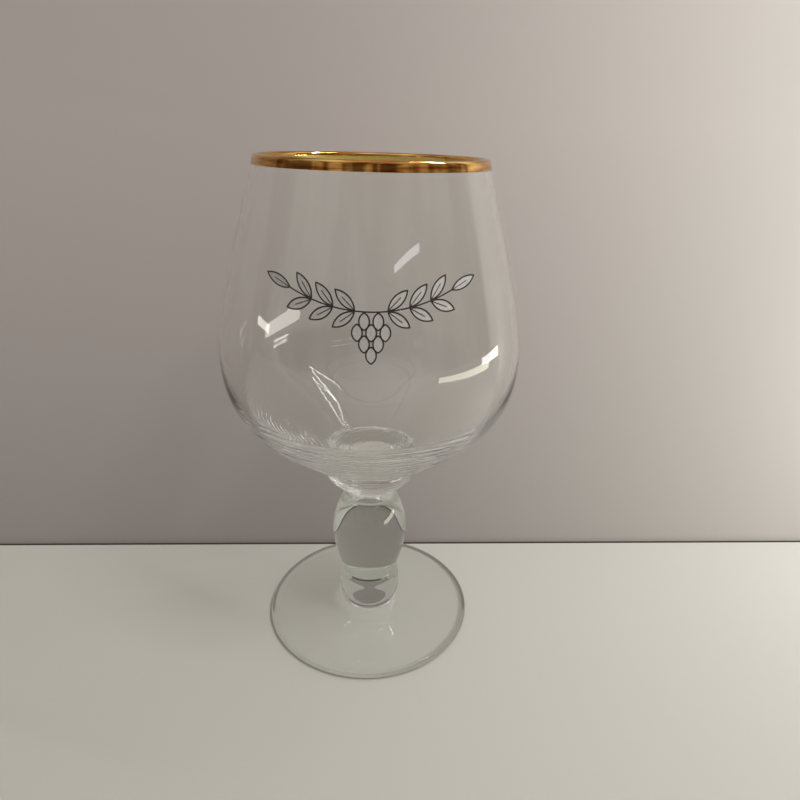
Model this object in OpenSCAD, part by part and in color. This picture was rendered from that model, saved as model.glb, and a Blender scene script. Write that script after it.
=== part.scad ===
// Stemmed beer goblet in clear soda-lime glass with a gold rim and a printed hop garland.
// Lengths are in millimetres. The axis of the glass is Z and the foot rests on Z = 0.
// The print faces -Y. Pieces are stacked from the foot up, and each starts where the last one ends.

/* [Foot] */
// Diameter of the foot disc
foot_d = 73.6; // [60:0.2:90]
// Height of the foot, from the table to the seat of the collar
foot_h = 6; // [5.5:0.1:9]
// Thickness of the rounded edge of the foot
foot_edge_t = 2.8; // [2:0.1:4]
// Height of the top face where it leaves the hub
foot_hub_h = 5.2; // [4.2:0.1:5.4]
// Diameter where the hub's flare runs out into the top face
foot_flare_d = 27; // [24:0.5:36]
// Width of the flat ring that the glass rests on
foot_rest_w = 2; // [1.5:0.1:4]
// Depth of the shallow hollow under the foot
foot_hollow = 1.2; // [0.6:0.1:1.8]

/* [Collar] */
// Height of the collar bead between the foot and the knop
collar_h = 13; // [9:0.5:16]
// Widest diameter of the collar bead
collar_d = 22; // [20.6:0.1:25]
// Diameter of the collar where it sits on the foot
collar_seat_d = 19.6; // [18:0.1:20.4]

/* [Knop] */
// Height of the egg-shaped knop
knop_h = 31.3; // [26:0.1:40]
// Widest diameter of the knop
knop_d = 26.4; // [22:0.1:32]
// Height of the widest place above the waist under the knop
knop_belly_h = 17; // [13:0.5:20]
// Diameter of the waist under the knop
waist_d = 19.6; // [17:0.1:20.4]

/* [Button and neck] */
// Height of the neck and the button together
button_h = 13.2; // [11:0.1:17]
// Diameter of the neck above the knop
neck_d = 17.2; // [14:0.1:18.5]
// Height of the straight part of the neck
neck_h = 2.5; // [1.5:0.1:4]
// Widest diameter of the button under the bowl
button_d = 32; // [28:0.2:38]
// Height of the rounded edge above the button's widest place
button_edge_h = 1.5; // [0.8:0.1:2.5]

/* [Bowl] */
// Height of the bowl, from its seat on the button to the top of the lip
bowl_h = 96.5; // [80:0.5:110]
// Widest outer diameter of the bowl
bowl_d = 93; // [84:0.5:104]
// Height of the widest place above the seat
bowl_belly_h = 40.5; // [34:0.5:48]
// Outer diameter of the lip
rim_d = 66.2; // [58:0.2:76]
// Thickness of the side wall
wall_t = 1.7; // [1.2:0.1:2.6]
// Thickness of the glass over the middle of the button
bottom_t = 4; // [3:0.1:6]
// Thickness of the underside beside the button
heel_t = 4.4; // [3:0.1:6]
// Rise of the underside at the seat, in degrees
bowl_rise_deg = 30; // [24:1:36]
// Lean of the wall at the lip, in degrees from upright
rim_lean_deg = 16; // [10:1:22]

/* [Gold rim] */
// Height of the gold band on the outside of the lip
gold_h = 2.5; // [1.5:0.1:5]
// Thickness of the fired gold film, drawn thicker than life
gold_t = 0.15; // [0.1:0.05:0.3]

/* [Print] */
// Height above the seat of the bowl at which the garland hangs
print_h = 63; // [56:0.5:70]
// Thickness of the fired enamel
print_t = 0.15; // [0.1:0.05:0.3]
// Width of the dark outlines
line_w = 0.35; // [0.3:0.05:0.6]
// Reach of each branch to the side of the cone
branch_l = 20; // [17:0.5:24]
// Length of a leaf
leaf_l = 7; // [6:0.25:8]
// Width of a leaf
leaf_w = 2.8; // [2.4:0.1:3.4]
// Number of leaf pairs on each branch
leaf_pairs = 3; // [1:1:3]
// Length of one scale of the hop cone
scale_l = 4.4; // [3.6:0.1:5.2]
// Width of one scale of the hop cone
scale_w = 2.9; // [2.4:0.1:3.6]

/* [Hidden] */
$fn = 96;

// Colours as the photograph shows them
glass_tint = [0.82, 0.88, 0.85, 0.45];
gold_tint = [0.78, 0.56, 0.20];
ink_tint = [0.10, 0.09, 0.09];
fill_tint = [0.72, 0.71, 0.69];

// Segments of a curve: a long one, a middling one and a short one
long_n = 20;
mid_n = 12;
short_n = 8;

// Heights of the seats, from the table up
collar_z = foot_h;
knop_z = collar_z + collar_h;
button_z = knop_z + knop_h;
bowl_z = button_z + button_h;
belly_z = bowl_z + bowl_belly_h;

// Radii
foot_r = foot_d / 2;
waist_r = waist_d / 2;
knop_r = knop_d / 2;
neck_r = neck_d / 2;
button_r = button_d / 2;
collar_r = collar_d / 2;
collar_seat_r = collar_seat_d / 2;
bowl_r = bowl_d / 2;
rim_r = rim_d / 2;
lip_r = wall_t / 2;

// Points of a cubic curve with n segments. The first point is left out when it ends the curve before.
function cubic(a, b, c, d, n, first = 0) =
    [for (i = [first:n]) let (t = i / n, u = 1 - t)
        a * pow(u, 3) + b * 3 * t * pow(u, 2) + c * 3 * pow(t, 2) * u + d * pow(t, 3)];

// Points of an arc about centre c from angle a0 to angle a1
function arc(c, r, a0, a1, n, first = 0) =
    [for (i = [first:n]) let (a = a0 + (a1 - a0) * i / n) c + r * [cos(a), sin(a)]];

// Unit direction of a profile at point i
function heading(p, i) = let (d = p[min(i + 1, len(p) - 1)] - p[max(i - 1, 0)]) d / norm(d);

// A profile walked from the bottom up and moved outwards along its normals by t, which is one number or
// a list with one for each point
function moved(p, t) =
    [for (i = [0:len(p) - 1]) let (h = heading(p, i)) p[i] + [h[1], -h[0]] * (is_list(t) ? t[i] : t)];

// The list backwards, for the way back down a wall
function backwards(p) = [for (i = [len(p) - 1:-1:0]) p[i]];

// Outer profile of the bowl. The underside leaves the button at bowl_rise_deg and rounds up to the belly,
// then the wall leans in to the lip. Handle lengths are shares of the spans that they bridge.
edge_lean_share = 0.17;
seat_r = button_r - button_edge_h * edge_lean_share;
rise_share = 0.98;
belly_low_share = 0.38;
belly_high_share = 0.11;
lean_share = 0.86;
lip_c = [rim_r - lip_r * cos(rim_lean_deg), bowl_z + bowl_h - lip_r];
lip_end = lip_c + lip_r * [cos(rim_lean_deg), sin(rim_lean_deg)];
rise_l = rise_share * (bowl_r - seat_r);
lean_l = lean_share * (lip_end[1] - belly_z);
belly = [bowl_r, belly_z];
bowl_low = cubic([seat_r, bowl_z],
    [seat_r + rise_l * cos(bowl_rise_deg), bowl_z + rise_l * sin(bowl_rise_deg)],
    belly - [0, belly_low_share * bowl_belly_h], belly, long_n);
bowl_high = cubic(belly, belly + [0, belly_high_share * (lip_end[1] - belly_z)],
    lip_end + lean_l * [sin(rim_lean_deg), -cos(rim_lean_deg)], lip_end, long_n, 1);
bowl_outside = concat(bowl_low, bowl_high);

// Inner profile of the bowl. The wall grows from wall_t at the belly to heel_t beside the button, and a
// shallow floor closes the middle. It meets the wall at the point heel_n of the lower curve.
heel_place_share = 0.3;
heel_share = 0.4;
floor_share = 0.45;
heel_n = round(heel_place_share * long_n);
low_t = [for (i = [0:long_n]) wall_t + (heel_t - wall_t) * pow(1 - i / long_n, 2)];
inner_low = moved(bowl_low, -low_t);
floor_mid = [0, bowl_z + bottom_t];
floor_end = inner_low[heel_n];
bowl_floor = cubic(floor_mid, floor_mid + [floor_share * floor_end[0], 0],
    floor_end - heading(inner_low, heel_n) * (heel_share * floor_end[0]), floor_end, short_n);
bowl_inside = concat(bowl_floor, [for (i = [heel_n + 1:long_n]) inner_low[i]], moved(bowl_high, -wall_t));

module turned(p) {
    rotate_extrude() polygon(p);
}

// Foot: a disc with a rounded edge, a top face that rises a little to the hub, and a shallow hollow
// underneath, which leaves the flat ring that the glass rests on.
edge_c = [foot_r - foot_edge_t / 2, foot_edge_t / 2];
rest_out = edge_c[0];
rest_in = rest_out - foot_rest_w;
flare_r = foot_flare_d / 2;
flare_share = 0.45;
flare_rise_share = 0.125;
hollow_share = 0.75;
hollow_mid_share = 0.4;
hollow_rise = cubic([rest_in, 0], [rest_in * hollow_share, foot_hollow],
    [rest_in * hollow_mid_share, foot_hollow], [0, foot_hollow], short_n);
foot_top = cubic([flare_r, foot_hub_h],
    [flare_r - flare_share * (flare_r - collar_seat_r), foot_hub_h + flare_rise_share * (foot_h - foot_hub_h)],
    [collar_seat_r, foot_h - flare_share * (foot_h - foot_hub_h)], [collar_seat_r, foot_h], mid_n);
module foot() {
    color(glass_tint) turned(concat(arc(edge_c, foot_edge_t / 2, -90, 90, mid_n), foot_top,
        [[0, foot_h]], backwards(hollow_rise)));
}

// Collar: a bead of glass that joins the foot to the knop. Half way along its curve the radius is an eighth
// of each end's and three eighths of each handle's, so the handles lie where that makes it collar_r.
bead_low_share = 0.2;
bead_high_share = 0.25;
bead_handle_r = (8 * collar_r - collar_seat_r - waist_r) / 6;
collar_side = cubic([collar_seat_r, collar_z], [bead_handle_r, collar_z + bead_low_share * collar_h],
    [bead_handle_r, knop_z - bead_high_share * collar_h], [waist_r, knop_z], mid_n);
module foot_collar() {
    color(glass_tint) turned(concat([[0, collar_z]], collar_side, [[0, knop_z]]));
}

// Knop: a solid egg, full at the shoulder and drawn in to the waist below
knop_belly_z = knop_z + knop_belly_h;
shoulder_h = button_z - knop_belly_z;
shoulder_share = 0.42;
shoulder_reach_share = 0.15;
belly_share = 0.37;
draw_share = 0.3;
draw_reach_share = 0.35;
knop_side = concat(
    cubic([waist_r, knop_z],
        [waist_r + (knop_r - waist_r) * draw_reach_share, knop_z + draw_share * knop_belly_h],
        [knop_r, knop_belly_z - belly_share * knop_belly_h], [knop_r, knop_belly_z], mid_n),
    cubic([knop_r, knop_belly_z], [knop_r, knop_belly_z + shoulder_share * shoulder_h],
        [neck_r + (knop_r - neck_r) * shoulder_reach_share, button_z], [neck_r, button_z], mid_n, 1));
module knop() {
    color(glass_tint) turned(concat([[0, knop_z]], knop_side, [[0, button_z]]));
}

// Button: the short neck flares out into a rounded button that carries the bowl
flare_z = button_z + neck_h;
button_belly_z = bowl_z - button_edge_h;
under_share = 0.17;
button_side = concat([[neck_r, button_z]],
    cubic([neck_r, flare_z], [neck_r + (button_r - neck_r) * under_share,
        flare_z + (button_belly_z - flare_z) * under_share],
        [button_r, flare_z + (button_belly_z - flare_z) / 2], [button_r, button_belly_z], mid_n),
    [[seat_r, bowl_z]]);
module bowl_button() {
    color(glass_tint) turned(concat([[0, button_z]], button_side, [[0, bowl_z]]));
}

// Bowl: blown glass with a thick bottom, an even wall and a fire-rounded lip
module bowl() {
    color(glass_tint) turned(concat([[0, bowl_z]], bowl_outside,
        arc(lip_c, lip_r, rim_lean_deg, rim_lean_deg + 180, short_n, 1), backwards(bowl_inside)));
}

// Gold rim: a film fired on the outside of the wall and over the lip
gold_z = bowl_z + bowl_h - gold_h;
gold_low = [lookup(gold_z, [for (p = bowl_high) [p[1], p[0]]]), gold_z];
gold_inner = concat([gold_low], [for (p = bowl_high) if (p[1] > gold_z) p],
    arc(lip_c, lip_r, rim_lean_deg, rim_lean_deg + 180, short_n, 1));
module gold_rim() {
    color(gold_tint) turned(concat(moved(gold_inner, gold_t), backwards(gold_inner)));
}

// Print: the skin of enamel lies on the outside of the bowl, cut to the drawing seen from -Y
module on_the_bowl() {
    intersection() {
        turned(concat(moved(bowl_outside, print_t), backwards(bowl_outside)));
        translate([0, 0, bowl_z + print_h]) rotate([90, 0, 0]) linear_extrude(bowl_d) children();
    }
}

// A pointed leaf that lies along X from the origin, between two arcs, drawn in by inset all round
module leaf(l, w, inset = 0) {
    r = (pow(l, 2) + pow(w, 2)) / (4 * w);
    translate([l / 2, 0]) intersection() {
        translate([0, r - w / 2]) circle(r - inset);
        translate([0, w / 2 - r]) circle(r - inset);
    }
}

// The outline of a leaf, and the rib along its middle
rib_share = 0.6;
rib_w_share = 0.6;
rib_w = line_w * rib_w_share;
module rib() {
    translate([line_w, -rib_w / 2]) square([rib_share * leaf_l, rib_w]);
}
module leaf_lines(l, w) {
    difference() {
        leaf(l, w);
        leaf(l, w, line_w);
    }
}

// Each branch is an arc that leaves the middle level and bends gently up. Leaves stand on it in pairs,
// and one more closes its tip.
branch_r_share = 2.4;
branch_r = branch_r_share * branch_l;
leaf_lean_deg = 40;
function branch_deg(x) = asin(x / branch_r);
function branch_y(x) = branch_r * (1 - cos(branch_deg(x)));
module each_leaf() {
    first_x = leaf_l / 2 + line_w;
    tip_x = branch_l - line_w;
    step = (tip_x - first_x) / leaf_pairs;
    for (side = [0, 1]) mirror([side, 0]) {
        for (i = [0:leaf_pairs - 1], lean = [-leaf_lean_deg, leaf_lean_deg]) let (x = first_x + i * step)
            translate([x, branch_y(x)]) rotate(branch_deg(x) + lean) children();
        translate([tip_x, branch_y(tip_x)]) rotate(branch_deg(tip_x)) children();
    }
}
module branches() {
    intersection() {
        translate([0, branch_r]) difference() {
            circle(branch_r + line_w / 2);
            circle(branch_r - line_w / 2);
        }
        translate([-branch_l, -line_w]) square([2 * branch_l, branch_r / 2]);
    }
}

// The hop cone hangs under the middle of the garland: rows of scales that point down and nest together
row_scales = [2, 3, 2, 1];
row_share = 0.6;
column_share = 1.18;
row_step = scale_l * row_share;
scale_step = scale_w * column_share;
module each_scale() {
    for (row = [0:len(row_scales) - 1], k = [0:row_scales[row] - 1])
        translate([(k - (row_scales[row] - 1) / 2) * scale_step, -row * row_step]) rotate(-90) children();
}

module print_outline() {
    color(ink_tint) on_the_bowl() {
        each_leaf() {
            leaf_lines(leaf_l, leaf_w);
            rib();
        }
        each_scale() leaf_lines(scale_l, scale_w);
        branches();
    }
}

module print_fill() {
    color(fill_tint) on_the_bowl() {
        each_leaf() difference() {
            leaf(leaf_l, leaf_w, line_w);
            rib();
        }
        each_scale() leaf(scale_l, scale_w, line_w);
    }
}

foot();
foot_collar();
knop();
bowl_button();
bowl();
gold_rim();
print_outline();
print_fill();
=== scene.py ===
"""Stemmed beer goblet with a gold lip and a printed hop garland. Lengths are in metres. The axis of the
glass is Z, it stands on Z = 0, and the print faces -Y."""

import math

import bmesh
import bpy
import numpy as np
from mathutils import Matrix, Vector


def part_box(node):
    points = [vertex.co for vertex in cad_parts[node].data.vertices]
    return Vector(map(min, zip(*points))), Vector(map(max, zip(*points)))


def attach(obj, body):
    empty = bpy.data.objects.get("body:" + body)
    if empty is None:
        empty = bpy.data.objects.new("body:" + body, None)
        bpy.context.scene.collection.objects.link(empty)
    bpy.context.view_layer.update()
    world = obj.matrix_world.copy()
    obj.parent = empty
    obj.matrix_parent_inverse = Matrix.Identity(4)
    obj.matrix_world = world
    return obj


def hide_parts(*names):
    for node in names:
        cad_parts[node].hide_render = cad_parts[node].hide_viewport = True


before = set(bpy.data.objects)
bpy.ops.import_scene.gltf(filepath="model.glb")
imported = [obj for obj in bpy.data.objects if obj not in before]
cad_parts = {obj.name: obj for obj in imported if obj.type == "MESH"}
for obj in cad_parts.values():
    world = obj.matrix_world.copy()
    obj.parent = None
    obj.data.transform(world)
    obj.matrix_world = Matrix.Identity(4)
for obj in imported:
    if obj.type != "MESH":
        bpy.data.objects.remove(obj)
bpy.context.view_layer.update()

# Foot. A pressed disc of clear soda-lime glass that carries everything, with a rounded edge, a top face
# that rises a little to the hub, and a shallow hollow underneath, so that it stands on a narrow ring.
# Pressing leaves its faces slightly wavy.
mm = 0.001
foot_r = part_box("foot")[1].x
foot_top_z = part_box("foot")[1].z
foot_edge_t = 2.8 * mm
foot_hub_z = 5.2 * mm
foot_flare_r = 13.5 * mm
foot_rest_w = 2 * mm
foot_hollow = 1.2 * mm
collar_seat_r = 9.8 * mm
hollow_flat_share, hollow_end_share = 0.4, 0.75
flare_share, flare_rise_share = 0.45, 0.125
foot_tint, foot_passed = (0.97, 0.98, 0.965), 0.94
foot_edge_tint, foot_edge_passed = (0.90, 0.93, 0.88), 0.55
pressed_wave_h, pressed_wave_l = 0.02 * mm, 12 * mm
glass_ior = 1.52
fine_gap, finer_gap = 0.4 * mm, 0.2 * mm
cubic_points, arc_points = 400, 100
crease = math.radians(35)
glass_face, seat_face, edge_face = 0, 1, 2


def cubic(a, b, c, d):
    """Cubic curve from a to d with handles b and c, each weighted by its term of ((1 - t) + t) cubed."""
    t = np.linspace(0, 1, cubic_points)[:, None]
    a, b, c, d = (np.array(corner, float) for corner in (a, b, c, d))
    return a * (1 - t) ** 3 + 3 * b * t * (1 - t) ** 2 + 3 * c * t ** 2 * (1 - t) + d * t ** 3


def arc(centre, radius, start, end):
    """Arc about centre: radius times the cosine and sine of an angle from start to end, in degrees."""
    angle = np.radians(np.linspace(start, end, arc_points))
    return np.array(centre) + radius * np.stack([np.cos(angle), np.sin(angle)], axis=1)


def straight(*corners):
    """Straight line through the corners."""
    return np.array(corners, float)


def walk(line):
    """Length walked along a line, from its start to each of its points."""
    return np.concatenate([[0], np.cumsum(np.hypot(*np.diff(line, axis=0).T))])


def even(line, gap):
    """The same line with points about gap apart, read off against the length walked along it."""
    walked = walk(line)
    stops = np.linspace(0, walked[-1], max(2, round(walked[-1] / gap) + 1))
    return np.stack([np.interp(stops, walked, line[:, k]) for k in (0, 1)], axis=1)


def outward(line):
    """Unit normals of a line walked from the bottom up: its direction, turned a quarter to the outside."""
    along = np.gradient(line, axis=0)
    along /= np.linalg.norm(along, axis=1)[:, None]
    return np.stack([along[:, 1], -along[:, 0]], axis=1)


def show(name, mesh, *materials):
    """Puts a mesh in the scene as a piece with these materials, smooth but for edges sharper than crease."""
    for material in materials:
        mesh.materials.append(material)
    mesh.shade_smooth()
    mesh.set_sharp_from_angle(angle=crease)
    piece = bpy.data.objects.new(name, mesh)
    bpy.context.scene.collection.objects.link(piece)
    return piece


def turn(name, stretches, steps=192, swell=None, ring=False):
    """Mesh of a profile carried round Z: the point (r, z) at the angle a goes to (r cos a, r sin a, z).
    stretches holds the profile's points with the number of their material. swell gives how far each point
    moves along its normal at each angle. The profile starts and ends on the axis, or closes as a ring."""
    line, kinds = stretches[0][0][:1], []
    for points, kind in stretches:
        fresh = points[1:] if np.allclose(points[0], line[-1], atol=1e-9) else points
        line = np.concatenate([line, fresh])
        kinds += [kind] * len(fresh)
    angle = np.linspace(0, 2 * np.pi, steps, endpoint=False)
    moved = np.zeros((len(line), steps)) if swell is None else swell(line, angle)
    normal = outward(line)
    r = line[:, :1] + normal[:, :1] * moved
    z = line[:, 1:] + normal[:, 1:] * moved
    grid = np.stack([r * np.cos(angle), r * np.sin(angle), z], axis=2)
    number = np.arange(len(line) * steps).reshape(len(line), steps)
    if not ring:
        number[0], number[-1] = number[0, 0], number[-1, 0]
    used, number = np.unique(number, return_inverse=True)
    number = number.reshape(len(line), steps)
    beside, above = np.roll(number, -1, axis=1), np.roll(number, -1, axis=0)
    faces = np.stack([number, beside, np.roll(beside, -1, axis=0), above], axis=2)
    if ring:
        kinds.append(kinds[0])
        faces = faces.reshape(-1, 4).tolist()
    else:
        low, between, high = faces[0][:, [0, 2, 3]], faces[1:-2].reshape(-1, 4), faces[-2][:, :3]
        faces = low.tolist() + between.tolist() + high.tolist()
    mesh = bpy.data.meshes.new(name)
    mesh.from_pydata(grid.reshape(-1, 3)[used].tolist(), [], faces)
    mesh.polygons.foreach_set("material_index", np.repeat(kinds, steps).astype(np.int32))
    return mesh


class Wire:
    """An output in a node tree. Python's +, - and * on it add the Math nodes that work them out."""

    def __init__(self, tree, socket=None):
        self.tree, self.socket = tree, socket

    def node(self, kind, settings=None, sockets=None, output=0):
        """Adds a node, with its settings first and then the values or links of its sockets."""
        made = self.tree.nodes.new(kind)
        for name, value in (settings or {}).items():
            setattr(made, name, value)
        for name, value in (sockets or {}).items():
            if isinstance(value, Wire):
                self.tree.links.new(value.socket, made.inputs[name])
            else:
                made.inputs[name].default_value = value
        return Wire(self.tree, made.outputs[output] if len(made.outputs) else None)

    def maths(self, operation, first, second):
        return self.node("ShaderNodeMath", {"operation": operation}, {0: first, 1: second})

    def __add__(self, other):
        return self.maths("ADD", self, other)

    def __mul__(self, other):
        return self.maths("MULTIPLY", self, other)

    def __sub__(self, other):
        return self.maths("SUBTRACT", self, other)

    def __rsub__(self, other):
        return self.maths("SUBTRACT", other, self)

    __radd__, __rmul__ = __add__, __mul__


def new_tree(name):
    """A material with an empty node tree, and a wire that adds nodes to it."""
    material = bpy.data.materials.new(name)
    material.use_nodes = True
    material.node_tree.nodes.clear()
    return material, Wire(material.node_tree)


def clear_glass(name, tint, wave_h, wave_l, passed=0.97):
    """Clear glass with a soft waviness: its noise is wave_h high and its lumps are wave_l wide. Light from
    the lamps and from matt faces goes straight through, and passed is the share that each face lets on."""
    material, wire = new_tree(name)
    place = wire.node("ShaderNodeTexCoord", output="Object")
    lumps = wire.node("ShaderNodeTexNoise", sockets={"Vector": place, "Scale": 1 / wave_l, "Detail": 1.0})
    normal = wire.node("ShaderNodeBump", sockets={"Height": lumps, "Strength": 1.0, "Distance": wave_h})
    glass = wire.node("ShaderNodeBsdfPrincipled", sockets={
        "Base Color": (*tint, 1), "Roughness": 0, "IOR": glass_ior, "Transmission Weight": 1,
        "Normal": normal})
    pane = wire.node("ShaderNodeBsdfTransparent", sockets={"Color": (passed, passed, passed, 1)})
    for kind in ("Is Diffuse Ray", "Is Shadow Ray"):
        path = wire.node("ShaderNodeLightPath", output=kind)
        glass = wire.node("ShaderNodeMixShader", sockets={0: path, 1: glass, 2: pane})
    wire.node("ShaderNodeOutputMaterial", sockets={"Surface": glass})
    return material


# Where two pieces were fused while hot, no surface is left between them, so light crosses freely there.
fused, wire = new_tree("fused_seat")
wire.node("ShaderNodeOutputMaterial", sockets={"Surface": wire.node("ShaderNodeBsdfTransparent")})

edge_c = (foot_r - foot_edge_t / 2, foot_edge_t / 2)
rest_in = edge_c[0] - foot_rest_w
foot_line = [
    (even(cubic((0, foot_hollow), (rest_in * hollow_flat_share, foot_hollow),
                (rest_in * hollow_end_share, foot_hollow), (rest_in, 0)), fine_gap), glass_face),
    (straight((rest_in, 0), (edge_c[0], 0)), glass_face),
    (even(arc(edge_c, foot_edge_t / 2, -90, 90), finer_gap), edge_face),
    (even(straight((edge_c[0], foot_edge_t), (foot_flare_r, foot_hub_z)), fine_gap), glass_face),
    (even(cubic((foot_flare_r, foot_hub_z),
                (foot_flare_r - flare_share * (foot_flare_r - collar_seat_r),
                 foot_hub_z + (foot_top_z - foot_hub_z) * flare_rise_share),
                (collar_seat_r, foot_top_z - flare_share * (foot_top_z - foot_hub_z)),
                (collar_seat_r, foot_top_z)), finer_gap), glass_face),
    (straight((collar_seat_r, foot_top_z), (0, foot_top_z)), seat_face)]
foot = show("foot_glass", turn("foot_glass", foot_line),
            clear_glass("foot_glass", foot_tint, pressed_wave_h, pressed_wave_l, foot_passed), fused,
            clear_glass("foot_edge_glass", foot_edge_tint, pressed_wave_h, pressed_wave_l, foot_edge_passed))
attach(foot, "root")
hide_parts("foot")

# Collar. A small bead of the same clear glass, dropped hot on the hub of the foot to take the knop. It is
# fused to both, so only its round side is a surface.
collar_low_z, collar_top_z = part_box("foot_collar")[0].z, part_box("foot_collar")[1].z
collar_h = collar_top_z - collar_low_z
waist_r = 9.8 * mm
bead_low_share, bead_high_share = 0.2, 0.25
stem_tint, stem_passed = (0.84, 0.87, 0.83), 0.85
stem_wave_h, stem_wave_l = 0.01 * mm, 9 * mm
# The middle of a cubic is (a + 3b + 3c + d) / 8, so this radius of b and c puts it on the bead's own.
bead_handle_r = (8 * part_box("foot_collar")[1].x - collar_seat_r - waist_r) / 6
collar_line = [
    (straight((0, collar_low_z), (collar_seat_r, collar_low_z)), seat_face),
    (even(cubic((collar_seat_r, collar_low_z), (bead_handle_r, collar_low_z + bead_low_share * collar_h),
                (bead_handle_r, collar_top_z - bead_high_share * collar_h), (waist_r, collar_top_z)),
          finer_gap), glass_face),
    (straight((waist_r, collar_top_z), (0, collar_top_z)), seat_face)]
stem_glass = clear_glass("stem_glass", stem_tint, stem_wave_h, stem_wave_l, stem_passed)
collar = show("collar_glass", turn("collar_glass", collar_line), stem_glass, fused)
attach(collar, "root")
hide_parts("foot_collar")

# Knop. A solid egg of glass, full at the shoulder and drawn in to the waist, which acts as a strong lens.
# It is fused to the collar below and to the neck above.
knop_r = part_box("knop")[1].x
knop_low_z, knop_top_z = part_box("knop")[0].z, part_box("knop")[1].z
knop_belly_h = 17 * mm
neck_r = 8.6 * mm
draw_share, draw_reach_share, belly_share = 0.3, 0.35, 0.37
shoulder_share, shoulder_reach_share = 0.42, 0.15
knop_belly_z = knop_low_z + knop_belly_h
shoulder_h = knop_top_z - knop_belly_z
knop_line = [
    (straight((0, knop_low_z), (waist_r, knop_low_z)), seat_face),
    (even(cubic((waist_r, knop_low_z),
                (waist_r + (knop_r - waist_r) * draw_reach_share, knop_low_z + draw_share * knop_belly_h),
                (knop_r, knop_belly_z - belly_share * knop_belly_h), (knop_r, knop_belly_z)),
          fine_gap), glass_face),
    (even(cubic((knop_r, knop_belly_z), (knop_r, knop_belly_z + shoulder_share * shoulder_h),
                (neck_r + (knop_r - neck_r) * shoulder_reach_share, knop_top_z), (neck_r, knop_top_z)),
          fine_gap), glass_face),
    (straight((neck_r, knop_top_z), (0, knop_top_z)), seat_face)]
knop = show("knop_glass", turn("knop_glass", knop_line), stem_glass, fused)
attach(knop, "root")
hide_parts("knop")

# Button. A short neck that flares into a rounded button, laid hot on the knop to carry the bowl. It is
# fused to both, and the tool that rounded it left fine rings on its flare.
button_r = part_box("bowl_button")[1].x
button_top_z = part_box("bowl_button")[1].z
neck_h = 2.5 * mm
button_edge_h = 1.5 * mm
under_share, edge_lean_share = 0.17, 0.17
button_tint = (0.95, 0.96, 0.94)
button_gap = 0.25 * mm
button_ring_h, button_ring_gap = 0.08 * mm, 1.5 * mm
slow_waves, slow_wander, slow_start = 3, 0.7, 1.2
quick_waves, quick_wander = 11, 0.35
long_rings, long_wander = 3, 2.0
seat_r = button_r - button_edge_h * edge_lean_share
flare_z = knop_top_z + neck_h
button_belly_z = button_top_z - button_edge_h
flare_h = button_belly_z - flare_z
button_line = [
    (straight((0, knop_top_z), (neck_r, knop_top_z)), seat_face),
    (even(straight((neck_r, knop_top_z), (neck_r, flare_z)), fine_gap), glass_face),
    (even(cubic((neck_r, flare_z),
                (neck_r + (button_r - neck_r) * under_share, flare_z + flare_h * under_share),
                (button_r, flare_z + flare_h / 2), (button_r, button_belly_z)), button_gap), glass_face),
    (even(straight((button_r, button_belly_z), (seat_r, button_top_z)), button_gap), glass_face),
    (straight((seat_r, button_top_z), (0, button_top_z)), seat_face)]


def rings(walked, angle, start, stop, gap, height):
    """Ripple that a tool leaves in turned glass: a sine of the length walked along the profile, times the
    square root of a parabola that is 0 at start and stop and 1 midway. It wanders by a slow and a quick
    sine of the angle and a long one of the length."""
    share = np.clip((walked - start) / (stop - start), 0, 1)
    drift = slow_wander * np.sin(slow_waves * angle + slow_start) + quick_wander * np.sin(quick_waves * angle)
    drift = drift + long_wander * np.sin(walked / gap / long_rings)
    return height * np.sqrt(4 * share * (1 - share)) * np.sin(2 * np.pi * walked / gap + drift)


def button_rings(line, angle):
    """Fine rings on the flare of the button, from the neck to the seat of the bowl."""
    walked = walk(line)[:, None]
    return rings(walked, angle, neck_r + neck_h, walked[-1] - seat_r, button_ring_gap, button_ring_h)


button = show("button_glass", turn("button_glass", button_line, swell=button_rings),
              clear_glass("button_glass", button_tint, stem_wave_h, stem_wave_l), fused)
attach(button, "root")
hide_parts("bowl_button")

# Bowl. Blown clear glass with a thick bottom, an even wall and a fire-rounded lip. The tool that shaped
# its bottom left fine rings there, which wander a little and bend what is seen through it.
bowl_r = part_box("bowl")[1].x
bowl_z, bowl_top_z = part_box("bowl")[0].z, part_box("bowl")[1].z
rim_r = 33.1 * mm
belly_h = 40.5 * mm
wall_t, bottom_t, heel_t = 1.7 * mm, 4 * mm, 4.4 * mm
rise_deg, lean_deg = 30, 16
rise_share, belly_low_share, belly_high_share, lean_share = 0.98, 0.38, 0.11, 0.86
floor_share, heel_share, heel_place_share = 0.45, 0.4, 0.3
bowl_tint = (0.985, 0.99, 0.98)
blown_wave_h, blown_wave_l = 0.015 * mm, 18 * mm
wall_gap, lip_gap, bowl_steps = 1.2 * mm, 0.15 * mm, 240
ring_gap, ring_side = 2.1 * mm, math.radians(245)
ring_fade, ring_lobes, lobe_h, lobe_start = 3, 5, 0.3, 2.1
inside_ring_h, outside_ring_h = 0.1 * mm, 0.12 * mm
inside_from, inside_to, outside_from, outside_to = 1 * mm, 18 * mm, 17.5 * mm, 56 * mm
rise, lean = math.radians(rise_deg), math.radians(lean_deg)
lip_r = wall_t / 2
belly_z = bowl_z + belly_h
lip_c = np.array([rim_r - lip_r * math.cos(lean), bowl_top_z - lip_r])
lip_end = lip_c + lip_r * np.array([math.cos(lean), math.sin(lean)])
rise_l = rise_share * (bowl_r - seat_r)
lean_l = lean_share * (lip_end[1] - belly_z)
bowl_low = cubic((seat_r, bowl_z), (seat_r + rise_l * math.cos(rise), bowl_z + rise_l * math.sin(rise)),
                 (bowl_r, belly_z - belly_low_share * belly_h), (bowl_r, belly_z))
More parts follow.
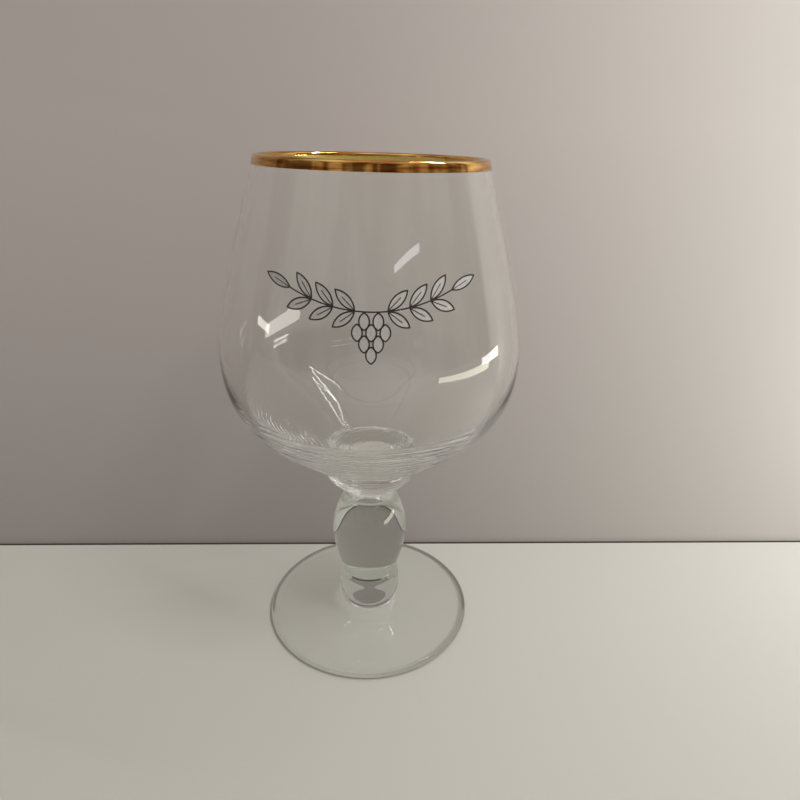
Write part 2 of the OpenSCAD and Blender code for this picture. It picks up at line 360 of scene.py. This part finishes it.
bowl_high = cubic((bowl_r, belly_z), (bowl_r, belly_z + belly_high_share * (lip_end[1] - belly_z)),
                  lip_end + lean_l * np.array([math.sin(lean), -math.cos(lean)]), lip_end)
lip = arc(lip_c, lip_r, lean_deg, lean_deg + 180)
low_t = wall_t + (heel_t - wall_t) * (1 - np.linspace(0, 1, len(bowl_low))) ** 2
inner_low = bowl_low - outward(bowl_low) * low_t[:, None]
inner_high = bowl_high - outward(bowl_high) * wall_t
heel = round(len(bowl_low) * heel_place_share)
heel_along = inner_low[heel + 1] - inner_low[heel - 1]
heel_along /= np.linalg.norm(heel_along)
heel_r = inner_low[heel][0]
bowl_floor = cubic((0, bowl_z + bottom_t), (floor_share * heel_r, bowl_z + bottom_t),
                   inner_low[heel] - heel_along * heel_share * heel_r, inner_low[heel])


def bowl_rings(line, angle):
    """Rings in the bottom of the bowl, inside about its middle and outside up to the belly. Outside they are
    deepest at the front left and fade out towards the back."""
    outside = walk(line)[:, None]
    inside = outside[-1] - outside
    deep = ((1 + np.cos(angle - ring_side)) / 2) ** ring_fade
    deep = deep * (1 + lobe_h * np.sin(ring_lobes * angle + lobe_start))
    return np.where(outside < inside,
                    deep * rings(outside, angle, outside_from, outside_to, ring_gap, outside_ring_h),
                    rings(inside, angle, inside_from, inside_to, ring_gap, inside_ring_h))


bowl_line = [
    (straight((0, bowl_z), (seat_r, bowl_z)), seat_face),
    (even(bowl_low, fine_gap), glass_face),
    (even(bowl_high, wall_gap), glass_face),
    (even(lip, lip_gap), glass_face),
    (even(inner_high[::-1], wall_gap), glass_face),
    (even(inner_low[heel:][::-1], wall_gap), glass_face),
    (even(bowl_floor[::-1], fine_gap), glass_face)]
bowl = show("bowl_glass", turn("bowl_glass", bowl_line, steps=bowl_steps, swell=bowl_rings),
            clear_glass("bowl_glass", bowl_tint, blown_wave_h, blown_wave_l), fused)
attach(bowl, "root")
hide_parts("bowl")

# Gold rim. Liquid bright gold, brushed on the outside of the lip and over it and fired to a mirror. It lies
# a hair off the glass, and thins to a deeper colour where the brush left less. Its back shows through the
# glass as a greener yellow.
gold_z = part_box("gold_rim")[0].z
gold_gap, gold_t, gold_edge = 0.03 * mm, 0.1 * mm, 0.05 * mm
outside_thin, outside_full = (0.36, 0.11, 0.01), (0.84, 0.52, 0.17)
inside_thin, inside_full = (0.52, 0.36, 0.04), (0.68, 0.49, 0.08)
brush_scale, brush_from, brush_to, brush_h = (90, 90, 900), 0.35, 0.65, 0.003 * mm
gold_rough, gold_rough_more = 0.02, 0.1
outside_face, inside_face = 0, 1
bowl_outside = np.concatenate([bowl_low, bowl_high[1:]])
gold_start = np.array([[np.interp(gold_z, bowl_outside[:, 1], bowl_outside[:, 0]), gold_z]])
gold_on = np.concatenate([gold_start, bowl_high[bowl_high[:, 1] > gold_z + gold_edge], lip[1:]])
gold_on = even(gold_on, lip_gap)
gold_line = [(gold_on + outward(gold_on) * (gold_gap + gold_t), outside_face),
             ((gold_on + outward(gold_on) * gold_gap)[::-1], inside_face)]


def blended(wire, share, first, second):
    """Colour that goes from first to second as share goes from 0 to 1. Each is three numbers or a wire."""
    first, second = (colour if isinstance(colour, Wire) else (*colour, 1) for colour in (first, second))
    return wire.node("ShaderNodeMix", {"data_type": "RGBA"}, {0: share, 6: first, 7: second}, output=2)


def brushed_gold(name, thin, full):
    """Fired gold that goes from thin to full along faint brush streaks round the lip."""
    material, wire = new_tree(name)
    place = wire.node("ShaderNodeTexCoord", output="Object")
    drawn = wire.node("ShaderNodeMapping", sockets={"Vector": place, "Scale": brush_scale})
    streaks = wire.node("ShaderNodeTexNoise", sockets={"Vector": drawn, "Scale": 1.0, "Detail": 3.0})
    share = wire.node("ShaderNodeMapRange", sockets={
        "Value": streaks, "From Min": brush_from, "From Max": brush_to})
    shine = wire.node("ShaderNodeBsdfPrincipled", sockets={
        "Base Color": blended(wire, share, thin, full), "Metallic": 1,
        "Roughness": gold_rough + gold_rough_more * streaks,
        "Normal": wire.node("ShaderNodeBump", sockets={"Height": streaks, "Distance": brush_h})})
    wire.node("ShaderNodeOutputMaterial", sockets={"Surface": shine})
    return material


gold_rim = show("gold_film", turn("gold_film", gold_line, steps=bowl_steps, ring=True),
                brushed_gold("gold_outside", outside_thin, outside_full),
                brushed_gold("gold_inside", inside_thin, inside_full))
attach(gold_rim, "root")
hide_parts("gold_rim")

# Print. A hop garland in two enamels, screened on the bowl and fired: black lines, and a pale grey that lets
# light through inside them. A cone of nested scales hangs in the middle, with a leafy branch to each side.
print_z = bowl_z + 63 * mm
line_w = 0.35 * mm
branch_l, branch_r_share = 20 * mm, 2.4
leaf_l, leaf_w = 7 * mm, 2.8 * mm
leaf_pairs, leaf_lean = 3, math.radians(40)
rib_share, rib_half_share = 0.6, 0.3
scale_l, scale_w = 4.4 * mm, 2.9 * mm
row_scales, row_share, column_share = (2, 3, 2, 1), 0.6, 1.18
print_gap, fill_t, ink_t = 0.03 * mm, 0.06 * mm, 0.1 * mm
side_points, rib_points, branch_points = 25, 8, 60
ink_dark, ink_worn, ink_grain_l = (0.012, 0.010, 0.010), (0.035, 0.030, 0.028), 0.6 * mm
pale_dull, pale_chalky, pale_grain_l = (0.50, 0.48, 0.45), (0.62, 0.60, 0.57), 0.8 * mm
grain_h = 0.01 * mm


def on_the_bowl(drawing, lift):
    """Points of the flat drawing (x, height) carried along Y to the front of the bowl and lifted off it along
    its normal: y is minus the square root of R squared less x squared, with R the bowl's radius there."""
    x, z = drawing[:, 0], drawing[:, 1] + print_z
    radius = np.interp(z, bowl_outside[:, 1], bowl_outside[:, 0])
    facing = outward(bowl_outside)
    facing = np.stack([np.interp(z, bowl_outside[:, 1], facing[:, k]) for k in (0, 1)], axis=1)
    y = -np.sqrt(radius ** 2 - x ** 2)
    normal = np.stack([facing[:, 0] * x / radius, facing[:, 0] * y / radius, facing[:, 1]], axis=1)
    return np.stack([x, y, z], axis=1) + normal * lift


def band(left, right, low, high, closed):
    """Closed strip between two lines of the drawing, from low to high off the glass: four corners carried
    along the lines, back on themselves or with an end face at each end. Gives its points and faces."""
    corners = [(left, low), (left, high), (right, high), (right, low)]
    points = np.stack([on_the_bowl(*corner) for corner in corners], axis=1)
    number = np.arange(len(left) * 4).reshape(-1, 4)
    beside, after = np.roll(number, -1, axis=1), np.roll(number, -1, axis=0)
    faces = np.stack([number, beside, np.roll(beside, -1, axis=0), after], axis=2)
    if closed:
        return points.reshape(-1, 3), faces.reshape(-1, 4)
    return points.reshape(-1, 3), np.concatenate([faces[:-1].reshape(-1, 4), number[:1], number[-1:, ::-1]])


def leaf_sides(length, width, inset):
    """Lower and upper side of a pointed leaf along X from the origin: two arcs, drawn in by inset, whose
    radius is the sum of length squared and width squared over four times the width."""
    radius = (length ** 2 + width ** 2) / (4 * width)
    drop = radius - width / 2
    half = math.sqrt((radius - inset) ** 2 - drop ** 2)
    x = half * np.sin(np.linspace(-np.pi / 2, np.pi / 2, side_points))
    bulge = np.sqrt((radius - inset) ** 2 - x ** 2) - drop
    return np.stack([x + length / 2, -bulge], axis=1), np.stack([x + length / 2, bulge], axis=1)


def laid(points, spot, angle, side):
    """The points turned by angle and moved to spot, and mirrored across the garland if side is -1."""
    c, s = math.cos(angle), math.sin(angle)
    return (points @ np.array([[c, s], [-s, c]]) + np.array(spot)) * np.array([side, 1])


def join(name, bands):
    """One mesh of several bands, with all faces outwards."""
    starts = np.cumsum([0] + [len(points) for points, _ in bands])
    faces = np.concatenate([corners + start for (_, corners), start in zip(bands, starts)])
    mesh = bpy.data.meshes.new(name)
    mesh.from_pydata(np.concatenate([points for points, _ in bands]).tolist(), [], faces.tolist())
    made = bmesh.new()
    made.from_mesh(mesh)
    bmesh.ops.recalc_face_normals(made, faces=made.faces)
    made.to_mesh(mesh)
    made.free()
    return mesh


outlines, fills = [], []


def add_leaf(length, width, *where):
    """A leaf's line, between its edge and the same edge drawn in by the width of the line, and its fill."""
    low, high = leaf_sides(length, width, 0)
    low_in, high_in = leaf_sides(length, width, line_w)
    edge = np.concatenate([low, high[-2:0:-1]])
    inner = np.concatenate([low_in, high_in[-2:0:-1]])
    outlines.append(band(laid(edge, *where), laid(inner, *where), print_gap, print_gap + ink_t, True))
    low_in, high_in = laid(low_in[1:-1], *where), laid(high_in[1:-1], *where)
    fills.append(band(low_in, high_in, print_gap, print_gap + fill_t, False))


branch_r = branch_r_share * branch_l
tip_x = branch_l - line_w
first_x = leaf_l / 2 + line_w
step = (tip_x - first_x) / leaf_pairs
spots = [(first_x + i * step, turned) for i in range(leaf_pairs) for turned in (-leaf_lean, leaf_lean)]
spots.append((tip_x, 0))
rib_x = np.linspace(line_w, line_w + rib_share * leaf_l, rib_points)
rib_half = np.full(rib_points, rib_half_share * line_w)
rib_low, rib_high = np.stack([rib_x, -rib_half], axis=1), np.stack([rib_x, rib_half], axis=1)
for side in (1, -1):
    for x, turned in spots:
        bend = math.asin(x / branch_r)
        where = ((x, branch_r * (1 - math.cos(bend))), bend + turned, side)
        add_leaf(leaf_l, leaf_w, *where)
        rib = laid(rib_low, *where), laid(rib_high, *where)
        outlines.append(band(*rib, print_gap + fill_t, print_gap + ink_t, False))
for row, count in enumerate(row_scales):
    for k in range(count):
        spot = ((k - (count - 1) / 2) * column_share * scale_w, -row * row_share * scale_l)
        add_leaf(scale_l, scale_w, spot, -math.pi / 2, 1)
sweep = np.linspace(-1, 1, branch_points) * math.asin(branch_l / branch_r)
branch = np.stack([branch_r * np.sin(sweep), branch_r * (1 - np.cos(sweep))], axis=1)
across = np.stack([-np.sin(sweep), np.cos(sweep)], axis=1) * line_w / 2
outlines.append(band(branch - across, branch + across, print_gap, print_gap + ink_t, False))


def enamel(name, low, high, grain_l, detail, roughness, cover=None):
    """Fired enamel whose fine grain takes its colour from low to high. roughness and cover each hold a value
    and what the grain adds to it. Enamel with no cover hides what is behind it."""
    material, wire = new_tree(name)
    place = wire.node("ShaderNodeTexCoord", output="Object")
    grain = wire.node("ShaderNodeTexNoise", sockets={"Vector": place, "Scale": 1 / grain_l, "Detail": detail})
    coat = {"Base Color": blended(wire, grain, low, high), "Roughness": roughness[0] + roughness[1] * grain,
            "Normal": wire.node("ShaderNodeBump", sockets={"Height": grain, "Distance": grain_h})}
    if cover:
        coat["Alpha"] = cover[0] + cover[1] * grain
    coat = wire.node("ShaderNodeBsdfPrincipled", sockets=coat)
    wire.node("ShaderNodeOutputMaterial", sockets={"Surface": coat})
    return material


outline = show("print_lines", join("print_lines", outlines),
               enamel("dark_enamel", ink_dark, ink_worn, ink_grain_l, detail=2.0, roughness=(0.3, 0.25)))
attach(outline, "root")
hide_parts("print_outline")

fill = show("print_fill_enamel", join("print_fill_enamel", fills),
            enamel("pale_enamel", pale_dull, pale_chalky, pale_grain_l, detail=3.0, roughness=(0.4, 0.2),
                   cover=(0.4, 0.2)))
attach(fill, "root")
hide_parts("print_fill")

# Floor and backdrop. A pale table top that ends at the back of the foot, a narrow joint, and a board that
# leans back from there. The table and the board are painted lighter to the right, a painted light from that
# side, and the board darker at its foot, a painted shade above the joint, which is painted near black as the
# shade in its gap. All three are clear from behind, so that they hide nothing from the back.
floor_back = foot_r - 0.5 * mm
floor_half, floor_front = 1.5, -1.5
joint_w, joint_drop = 1.7 * mm, 0.39 * mm
board_lean = math.radians(8)
board_half, board_l = 0.6, 0.9
turn_from, turn_to = -0.06, 0.3
fade_from, fade_to = 0, 0.17
# Table paint: darker on the left and lighter on the right, a painted light that stands for the light from the
# right.
table_shaded_left, table_lit_right = (0.375, 0.362, 0.324), (0.45, 0.437, 0.405)
# Joint paint: near black, a painted shade that stands for the shadow in the gap between table and board.
gap_shade_dark = (0.05, 0.04, 0.035)
# Board paint: lighter to the right, a painted light from that side, and darker at its foot, a painted shade
# above the joint.
board_shaded_left, board_lit_right, board_foot_shade = (0.475, 0.425, 0.405), (0.84, 0.80, 0.75), 0.69


def sheet(name, half, front, back, material):
    """Flat sheet that reaches half to each side, from front to back, which are each (y, z)."""
    mesh = bpy.data.meshes.new(name)
    mesh.from_pydata([(-half, *front), (half, *front), (half, *back), (-half, *back)], [], [(0, 1, 2, 3)])
    show(name, mesh, material)


def painted_light_matt(name, left, right, low=1.0):
    """Matt paint that goes from left to right on its way from turn_from to turn_to, times a brightness that
    goes from low to 1 on its way up from fade_from to fade_to. Both are painted light and shade: lighter
    towards the side the light comes from, and darker low down, where shade falls."""
    material, wire = new_tree(name)
    place = wire.node("ShaderNodeTexCoord", output="Object")
    across = wire.node("ShaderNodeSeparateXYZ", sockets={0: place})
    height = wire.node("ShaderNodeSeparateXYZ", sockets={0: place}, output=2)
    bright = wire.node("ShaderNodeMapRange", sockets={
        "Value": height, "From Min": fade_from, "From Max": fade_to, "To Min": low})
    share = wire.node("ShaderNodeMapRange", {"interpolation_type": "SMOOTHSTEP"}, {
        "Value": across, "From Min": turn_from, "From Max": turn_to})
    colour = blended(wire, share, left, right)
    colour = wire.node("ShaderNodeVectorMath", {"operation": "SCALE"}, {0: colour, "Scale": bright})
    paint = wire.node("ShaderNodeBsdfDiffuse", sockets={"Color": colour})
    back = wire.node("ShaderNodeNewGeometry", output="Backfacing")
    clear = wire.node("ShaderNodeBsdfTransparent")
    both = wire.node("ShaderNodeMixShader", sockets={0: back, 1: paint, 2: clear})
    wire.node("ShaderNodeOutputMaterial", sockets={"Surface": both})
    return material


board_low = (floor_back + joint_w, -joint_drop)
board_high = (board_low[0] + board_l * math.sin(board_lean), board_low[1] + board_l * math.cos(board_lean))
sheet("floor", floor_half, (floor_front, 0), (floor_back, 0), painted_light_matt("table", table_shaded_left, table_lit_right))
sheet("joint", floor_half, (floor_back, 0), board_low, painted_light_matt("joint", gap_shade_dark, gap_shade_dark))
sheet("board", board_half, board_low, board_high, painted_light_matt("board", board_shaded_left, board_lit_right, board_foot_shade))

# Light. A soft sun from the upper right, two thin tubes overhead, a window in front on the right, and four
# low lamps at the sides, which give the glints in the bowl. Through the glass the room is a plain grey, and
# in reflections it is warm patches under a pale ceiling.
middle = (0, 0, 0.1)
sun_strength, sun_spread, sun_from = 2.3, math.radians(15), (0.433, -0.25, 0.866)
tubes_from = (0.37, -0.04, 0.5)
cream, pale_cream, yellow = (1, 0.97, 0.88), (1, 0.98, 0.9), (1, 0.97, 0.78)
patch_scale, patch_from, patch_to = 4.5, 0.45, 0.62
patch_dark, patch_light = (0.12, 0.085, 0.06), (0.52, 0.47, 0.42)
room_grey = (0.2, 0.19, 0.18)
ceiling_from, ceiling_to, ceiling_pale = 0.5, 0.9, (0.8, 0.78, 0.75)


def lamp(name, start, end, height, radiance, colour=(1, 1, 1), mirrored=True, seen_through=True):
    """Rectangular lamp from start to end, height wide, that shines at the glass. Its power is its radiance
    times pi times its area. Reflections show it if mirrored is true, and clear glass if seen_through is."""
    start, end = Vector(start), Vector(end)
    light = bpy.data.lights.new(name, "AREA")
    light.shape = "RECTANGLE"
    light.size, light.size_y = (end - start).length, height
    light.energy = radiance * math.pi * light.size * light.size_y
    light.color = colour
    along, centre = (end - start).normalized(), (start + end) / 2
    back = centre - Vector(middle)
    back = (back - along * back.dot(along)).normalized()
    made = bpy.data.objects.new(name, light)
    facing = Matrix((along, back.cross(along), back)).transposed().to_4x4()
    made.matrix_world = Matrix.Translation(centre) @ facing
    made.visible_camera = False
    made.visible_glossy, made.visible_transmission = mirrored, seen_through
    bpy.context.scene.collection.objects.link(made)


sun = bpy.data.objects.new("sun", bpy.data.lights.new("sun", "SUN"))
sun.data.energy, sun.data.angle = sun_strength, sun_spread
sun.visible_glossy = sun.visible_transmission = False
sun.rotation_euler = Vector(sun_from).to_track_quat("Z", "Y").to_euler()
bpy.context.scene.collection.objects.link(sun)
lamp("window", (0.28, -0.88, 0.44), (0.58, -0.70, 0.45), height=0.018, radiance=3)
lamp("tube_a", tubes_from, (0.11, 0.04, 0.5), height=0.011, radiance=64)
lamp("tube_b", tubes_from, (0.09, 0.14, 0.5), height=0.011, radiance=64)
lamp("left_strip", (-0.78, -0.02, 0.15), (-0.75, -0.18, 0.16), height=0.02, radiance=8,
     colour=cream, seen_through=False)
lamp("right_low", (0.30, -0.04, 0.08), (0.27, 0.09, 0.08), height=0.016, radiance=28, mirrored=False)
lamp("left_front", (-0.322, -0.077, 0.13), (-0.263, -0.214, 0.18), height=0.016, radiance=6,
     colour=pale_cream, seen_through=False)
lamp("right_strip", (0.42, -0.40, 0.03), (0.56, 0.0, 0.03), height=0.04, radiance=7,
     colour=yellow, seen_through=False)

world = bpy.data.worlds.new("room")
world.use_nodes = True
world.node_tree.nodes.clear()
wire = Wire(world.node_tree)
aim = wire.node("ShaderNodeTexCoord", output="Generated")
patches = wire.node("ShaderNodeTexNoise", sockets={"Vector": aim, "Scale": patch_scale, "Detail": 3.0})
patches = wire.node("ShaderNodeMapRange", sockets={
    "Value": patches, "From Min": patch_from, "From Max": patch_to})
height = wire.node("ShaderNodeSeparateXYZ", sockets={0: aim}, output=2)
up = wire.node("ShaderNodeMapRange", {"interpolation_type": "SMOOTHSTEP"}, {
    "Value": height, "From Min": ceiling_from, "From Max": ceiling_to})
glossy = wire.node("ShaderNodeLightPath", output="Is Glossy Ray")
through = wire.node("ShaderNodeLightPath", output="Is Transmission Ray")
room = blended(wire, glossy * (1 - through), room_grey, blended(wire, patches, patch_dark, patch_light))
seen = blended(wire, glossy * up, room, ceiling_pale)
shown = wire.node("ShaderNodeBackground", sockets={"Color": seen})
wire.node("ShaderNodeOutputWorld", sockets={"Surface": shown})
bpy.context.scene.world = world
cycles = bpy.context.scene.cycles
cycles.max_bounces = cycles.glossy_bounces = cycles.transmission_bounces = 32
cycles.transparent_max_bounces = 48

# Camera. It looks down on the glass from the front, turned and rolled a little, as it was held in the hand.
# Its place and its wide lens follow from the ellipses of the foot and the lip.
camera_at = (0, -0.18488, 0.16585)
look_down, look_right, roll = 0.41111, 0.05242, 0.02841
camera = bpy.data.objects.new("camera", bpy.data.cameras.new("camera"))
camera.data.sensor_width = 36
camera.data.lens = 27.45
camera.matrix_world = (Matrix.Translation(camera_at) @ Matrix.Rotation(-look_right, 4, "Z")
                       @ Matrix.Rotation(math.pi / 2 - look_down, 4, "X") @ Matrix.Rotation(roll, 4, "Z"))
bpy.context.scene.collection.objects.link(camera)
bpy.context.scene.camera = camera
bpy.context.scene.view_settings.view_transform = "Standard"
